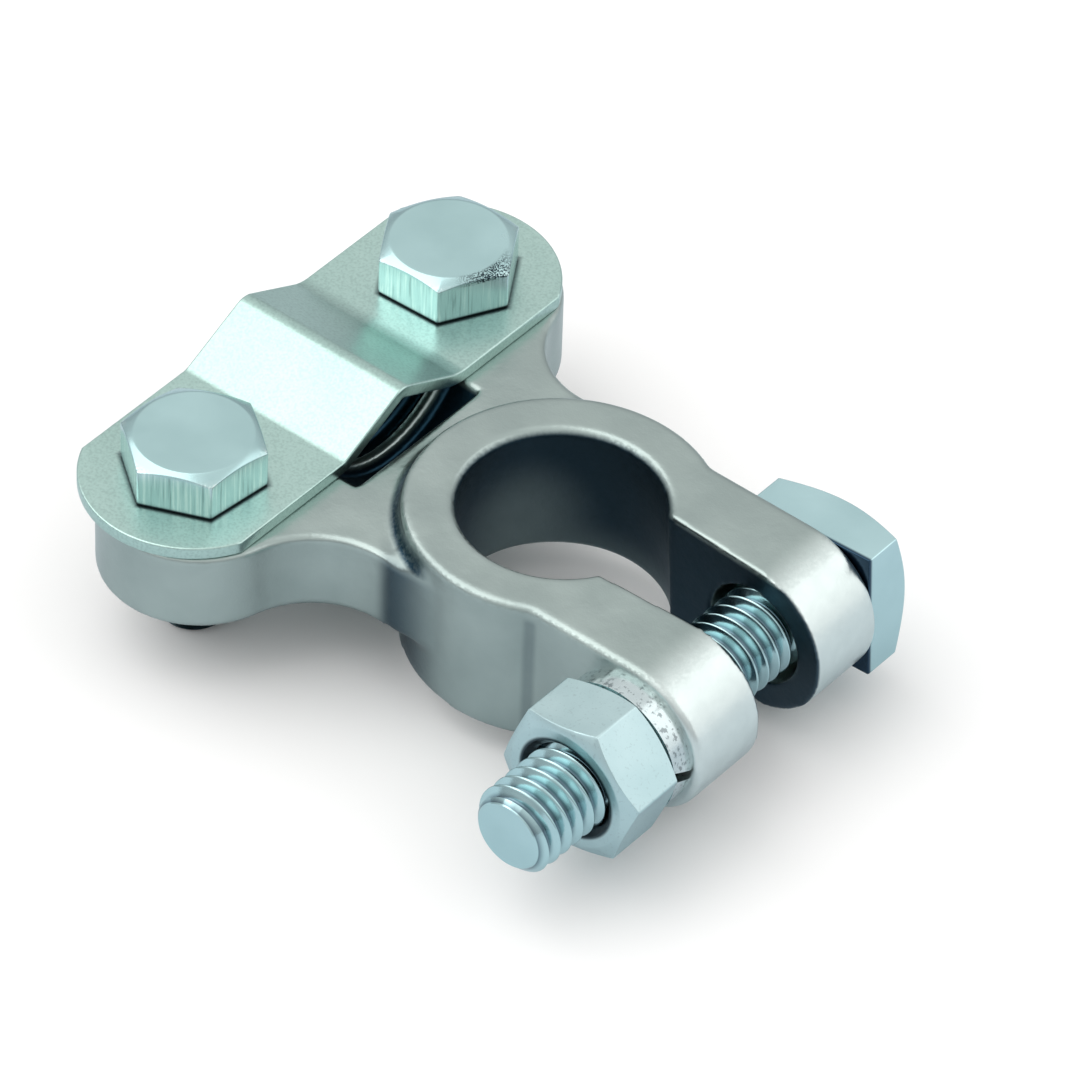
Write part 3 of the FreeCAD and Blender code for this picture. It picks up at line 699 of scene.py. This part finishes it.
def block(name, sides, flats, turn, thickness, both_ends):
    """A hexagon or square block with its corners cut back to a disc at one or both ends."""
    corner = flats / 2 / math.cos(math.pi / sides)
    angles = [math.radians(turn + 360 / sides * number) for number in range(sides)]
    corners = [(corner * math.cos(angle), corner * math.sin(angle)) for angle in angles]
    foot_level = -SPARE if both_ends else 0
    piece = plate(name, "plan", corners[0], corners[1:], foot_level, thickness + SPARE)
    round_edges(piece, HEAD_CORNER_ROUND, least_angle=50, steps=3,
                wanted=lambda middle: abs(middle.z - thickness / 2) < 1)
    disc = flats * FLAT_SHARE / 2
    drop = (corner + SPARE - disc) * HEAD_BEVEL
    foot = [(0, -SPARE), (corner + SPARE, -SPARE)]
    if both_ends:
        foot = [(0, 0), (disc, 0), (corner + SPARE, drop)]
    envelope = [*foot, (corner + SPARE, thickness - drop), (disc, thickness), (0, thickness)]
    carve(piece, turned("corner_cut", envelope, steps=120), "INTERSECT")
    bpy.ops.object.mode_set(mode="EDIT")
    bpy.ops.mesh.select_all(action="SELECT")
    bpy.ops.mesh.remove_doubles(threshold=0.04)
    bpy.ops.object.mode_set(mode="OBJECT")
    round_edges(piece, HEAD_CUT_ROUND, least_angle=22, steps=2,
                wanted=lambda middle: middle.z > thickness / 2 or both_ends)
    if not both_ends:
        round_edges(piece, HEAD_FOOT_ROUND, least_angle=60, steps=2, wanted=lambda middle: middle.z < 0.01)
    return piece


def threaded_shank(name, major, pitch, length, tip_bevel, steps):
    """A thread that winds up a helix below z = 0, cut off square with a bevelled tip."""
    foot = -length - THREAD_START * pitch
    form = THREAD_FORM + [(1 - share, rise) for share, rise in reversed(THREAD_FORM)]
    strip = [(major / 2 - THREAD_DEPTH * pitch * (1 - rise), foot + pitch * share) for share, rise in form]
    shank = drawn(name, "front", strip[0], strip[1:])
    bpy.ops.object.mode_set(mode="OBJECT")
    finish_step(shank, "SCREW", axis="Z", angle=math.tau, screw_offset=pitch, steps=steps,
                render_steps=steps, iterations=math.ceil(length / pitch) + 4)
    bpy.ops.object.mode_set(mode="EDIT")
    bpy.ops.mesh.select_all(action="SELECT")
    bpy.ops.mesh.remove_doubles(threshold=2 * MERGE)
    bpy.ops.mesh.fill_holes(sides=0)
    bpy.ops.mesh.select_all(action="SELECT")
    bpy.ops.mesh.normals_make_consistent(inside=False)
    bpy.ops.object.mode_set(mode="OBJECT")
    outside = major / 2 + SHANK_SLACK
    envelope = [(0, -length), (major / 2 - tip_bevel, -length), (outside, tip_bevel - length),
                (outside, SHANK_IN_HEAD), (0, SHANK_IN_HEAD)]
    carve(shank, turned("shank_cut", envelope, steps=steps), "INTERSECT")
    return shank


def headed_bolt(name, sides, flats, head_height, turn, shank):
    """A head that stands on z = 0, in one piece with its shank."""
    head = block(name, sides, flats, turn, head_height, both_ends=False)
    carve(head, shank, "UNION")
    return head


# The die's marks run down the heads, with a painted sheen over the flats; painted shade darkens
# the heads' feet and the threads in and under the casting; and one corner of the rear head is worn.
WORN_SPOT = (-20.6, 15.4, 17.3)
bolt_zinc, shader, point, tone, patch = metal(
    "zinc_plated_bolt", dark_tone=(0.420, 0.600, 0.605), light_tone=(0.470, 0.660, 0.665), patches=150)
east, north, high = measures(point)
from_axis = diagonal(east + SADDLE_BOLT_REACH, point.math("ABSOLUTE", north) - SADDLE_BOLT_SIDE)
along_bolt = point.node("ShaderNodeMapping", sockets={"Vector": point, "Scale": (1, 1, 0.04)})
die_marks = noise(along_bolt, 4200, detail=3)
speck = noise(point, 3000, detail=3)
wear = noise(point, 7500, detail=2)
on_flats = from_axis.rise(5.45, 5.56) * high.fall(SADDLE_TOP + 3.5, SADDLE_TOP + 3.9) * high.rise(
    SADDLE_TOP - 0.5, SADDLE_TOP + 0.1)
# Painted shade on the threads in and under the lobes' holes, and a painted contact shadow at each head's
# foot.
thread_shade = high.fall(ARM_TOP - 0.8, ARM_TOP + 0.2)
foot_shadow = high.fall(SADDLE_TOP + 0.14, SADDLE_TOP + 0.36)
worn_corner = distance(point, WORN_SPOT).fall(0.8, 3.8) * wear.rise(0.44, 0.53) * from_axis.rise(
    4.7, 5.1) * high.rise(SADDLE_TOP + 3.40, SADDLE_TOP + 3.55)
# The flats get the die's marks and a painted sheen over their whole height.
layered_tone = shaded(tone, on_flats * (0.20 + die_marks.rise(0.50, 0.68) * 0.50), (0.84, 0.95, 0.91))
layered_tone = shaded(layered_tone, on_flats * die_marks.fall(0.30, 0.44) * 0.45, (0.12, 0.19, 0.19))
dark = (worn_corner * 0.97).either(foot_shadow * 0.93).either(thread_shade * 0.90)
coat(shader,
     tone=shaded(layered_tone, dark, (0.010, 0.022, 0.032)),
     roughness=0.20 + patch * 0.10,
     normal=relief(speck * 0.5 + on_flats * die_marks, strength=0.20, depth=0.04))
for side, turn, name in SADDLE_BOLTS:
    shank = threaded_shank(name + "_shank", SADDLE_THREAD, SADDLE_PITCH, SADDLE_BOLT_LENGTH,
                           SADDLE_TIP_BEVEL, steps=48)
    bolt = headed_bolt(name + "_saddle_bolt", 6, SADDLE_HEAD_FLATS, SADDLE_HEAD_HEIGHT, turn, shank)
    put(bolt, (-SADDLE_BOLT_REACH, SADDLE_BOLT_SIDE * side, SADDLE_TOP))
    hand_over(bolt, name + "_saddle_bolt", "saddle_bolt_" + name, bolt_zinc)


# The clamp bolt: a square-headed steel bolt, zinc-plated and threaded all its length, that runs
# through both ears and is drawn up by the nut to close the ring on the post.
CLAMP_THREAD = 7.94
CLAMP_PITCH = 1.411
CLAMP_BOLT_LENGTH = 39
CLAMP_TIP_BEVEL = 0.9
CLAMP_FLATS = 12.5
CLAMP_HEAD_HEIGHT = 5.1
CLAMP_HEAD_TURN = -48
CLAMP_TIP = EAR_HALF - CLAMP_BOLT_LENGTH
shank = threaded_shank("clamp_shank", CLAMP_THREAD, CLAMP_PITCH, CLAMP_BOLT_LENGTH,
                       CLAMP_TIP_BEVEL, steps=64)
clamp_bolt = headed_bolt("square_head_bolt", 4, CLAMP_FLATS, CLAMP_HEAD_HEIGHT, CLAMP_HEAD_TURN, shank)
put(clamp_bolt, (CLAMP_BOLT_REACH, EAR_HALF, CLAMP_BOLT_HEIGHT), (-90, 0, 0))

clamp_zinc, shader, point, tone, patch = metal(
    "zinc_plated_clamp_bolt", dark_tone=(0.450, 0.640, 0.660), light_tone=(0.510, 0.710, 0.730), patches=150)
east, north, high = measures(point)
from_axis = diagonal(east - CLAMP_BOLT_REACH, high - CLAMP_BOLT_HEIGHT)
speck = noise(point, 1800, detail=3)
# Painted shade darkens the thread's roots up to the far ear, and a painted contact shadow the face of the
# head that bears on the ear.
thread_root_shade = north.fall(EAR_HALF - 0.7, EAR_HALF) * from_axis.fall(3.0, 3.6) * north.rise(
    CLAMP_TIP + 0.06, CLAMP_TIP + 0.12)
seat_shadow = north.fall(EAR_HALF + 0.15, EAR_HALF + 0.45) * from_axis.rise(4.5, 5.0)
coat(shader,
     tone=shaded(tone, (thread_root_shade * 0.85).either(seat_shadow * 0.95), (0.010, 0.035, 0.075)),
     roughness=0.12 + patch * 0.08,
     normal=relief(speck, strength=0.16, depth=0.04))
hand_over(clamp_bolt, "clamp_bolt", "clamp_bolt", clamp_zinc)


# The lock washer: a turn of square spring steel with a slanted split, zinc-plated, squeezed flat
# between the ear and the nut.
WASHER_INNER = 4.12
WASHER_OUTER = 6.25
WASHER_THICKNESS = 2
WASHER_EDGE_ROUND = 0.22
SPLIT_HALF = 0.5
SPLIT_SLANT = 0.7
SPLIT_SPARE = 0.4
SPLIT_REACH = 8
washer = turned("split_washer", [
    (WASHER_INNER, 0),
    (WASHER_OUTER, 0),
    (WASHER_OUTER, WASHER_THICKNESS),
    (WASHER_INNER, WASHER_THICKNESS),
    (WASHER_INNER, 0),
])
carve(washer, plate("split_cut", "end", (-SPLIT_SLANT - SPLIT_HALF, -SPLIT_SPARE), [
    (-SPLIT_SLANT + SPLIT_HALF, -SPLIT_SPARE),
    (SPLIT_SLANT + SPLIT_HALF, WASHER_THICKNESS + SPLIT_SPARE),
    (SPLIT_SLANT - SPLIT_HALF, WASHER_THICKNESS + SPLIT_SPARE),
], 0, SPLIT_REACH))
round_edges(washer, WASHER_EDGE_ROUND, least_angle=40, steps=3)
put(washer, (CLAMP_BOLT_REACH, -EAR_HALF, CLAMP_BOLT_HEIGHT), (90, 0, 0))

washer_zinc, shader, point, tone, patch = metal(
    "zinc_plated_washer", dark_tone=(0.560, 0.640, 0.650), light_tone=(0.700, 0.790, 0.790), patches=260)
worn = noise(point, 2200, detail=4)
coat(shader,
     tone=shaded(tone, worn.fall(0.34, 0.46) * 0.6, (0.08, 0.10, 0.11)),
     roughness=0.16 + patch * 0.14,
     normal=relief(worn, strength=0.25, depth=0.06))
hand_over(washer, "casting", "lock_washer", washer_zinc)


# The nut: a hexagon of zinc-plated steel on the clamp bolt, its corners cut back at both faces
# and its bore bevelled at both mouths.
NUT_HEIGHT = 6.3
NUT_TURN = 10
NUT_BORE = 4.02
NUT_MOUTH_BEVEL = 0.6
NUT_EDGE_ROUND = 0.13
mouth_end = NUT_BORE + NUT_MOUTH_BEVEL + SPARE
nut = block("hexagon_nut", 6, CLAMP_FLATS, NUT_TURN, NUT_HEIGHT, both_ends=True)
carve(nut, turned("thread_mouth", [
    (0, -SPARE),
    (mouth_end, -SPARE),
    (NUT_BORE, NUT_MOUTH_BEVEL),
    (NUT_BORE, NUT_HEIGHT - NUT_MOUTH_BEVEL),
    (mouth_end, NUT_HEIGHT + SPARE),
    (0, NUT_HEIGHT + SPARE),
]))
round_edges(nut, NUT_EDGE_ROUND, least_angle=20, steps=2)
put(nut, (CLAMP_BOLT_REACH, -EAR_HALF - WASHER_THICKNESS, CLAMP_BOLT_HEIGHT), (90, 0, 0))

nut_zinc, shader, point, tone, patch = metal(
    "zinc_plated_nut", dark_tone=(0.480, 0.640, 0.655), light_tone=(0.560, 0.720, 0.730), patches=170)
east, north, high = measures(point)
speck = noise(point, 3800, detail=3)
# Painted shade darkens the nut's bevelled mouths and bore.
mouth_shade = diagonal(east - CLAMP_BOLT_REACH, high - CLAMP_BOLT_HEIGHT).fall(4.7, 5.0)
layered_tone = shaded(tone, speck.rise(0.58, 0.70) * 0.16, (0.14, 0.19, 0.20))
coat(shader,
     tone=shaded(layered_tone, mouth_shade * 0.93, (0.008, 0.020, 0.030)),
     roughness=0.31 + patch * 0.10,
     normal=relief(speck, strength=0.15, depth=0.04))
hand_over(nut, "nut", "clamp_nut", nut_zinc)
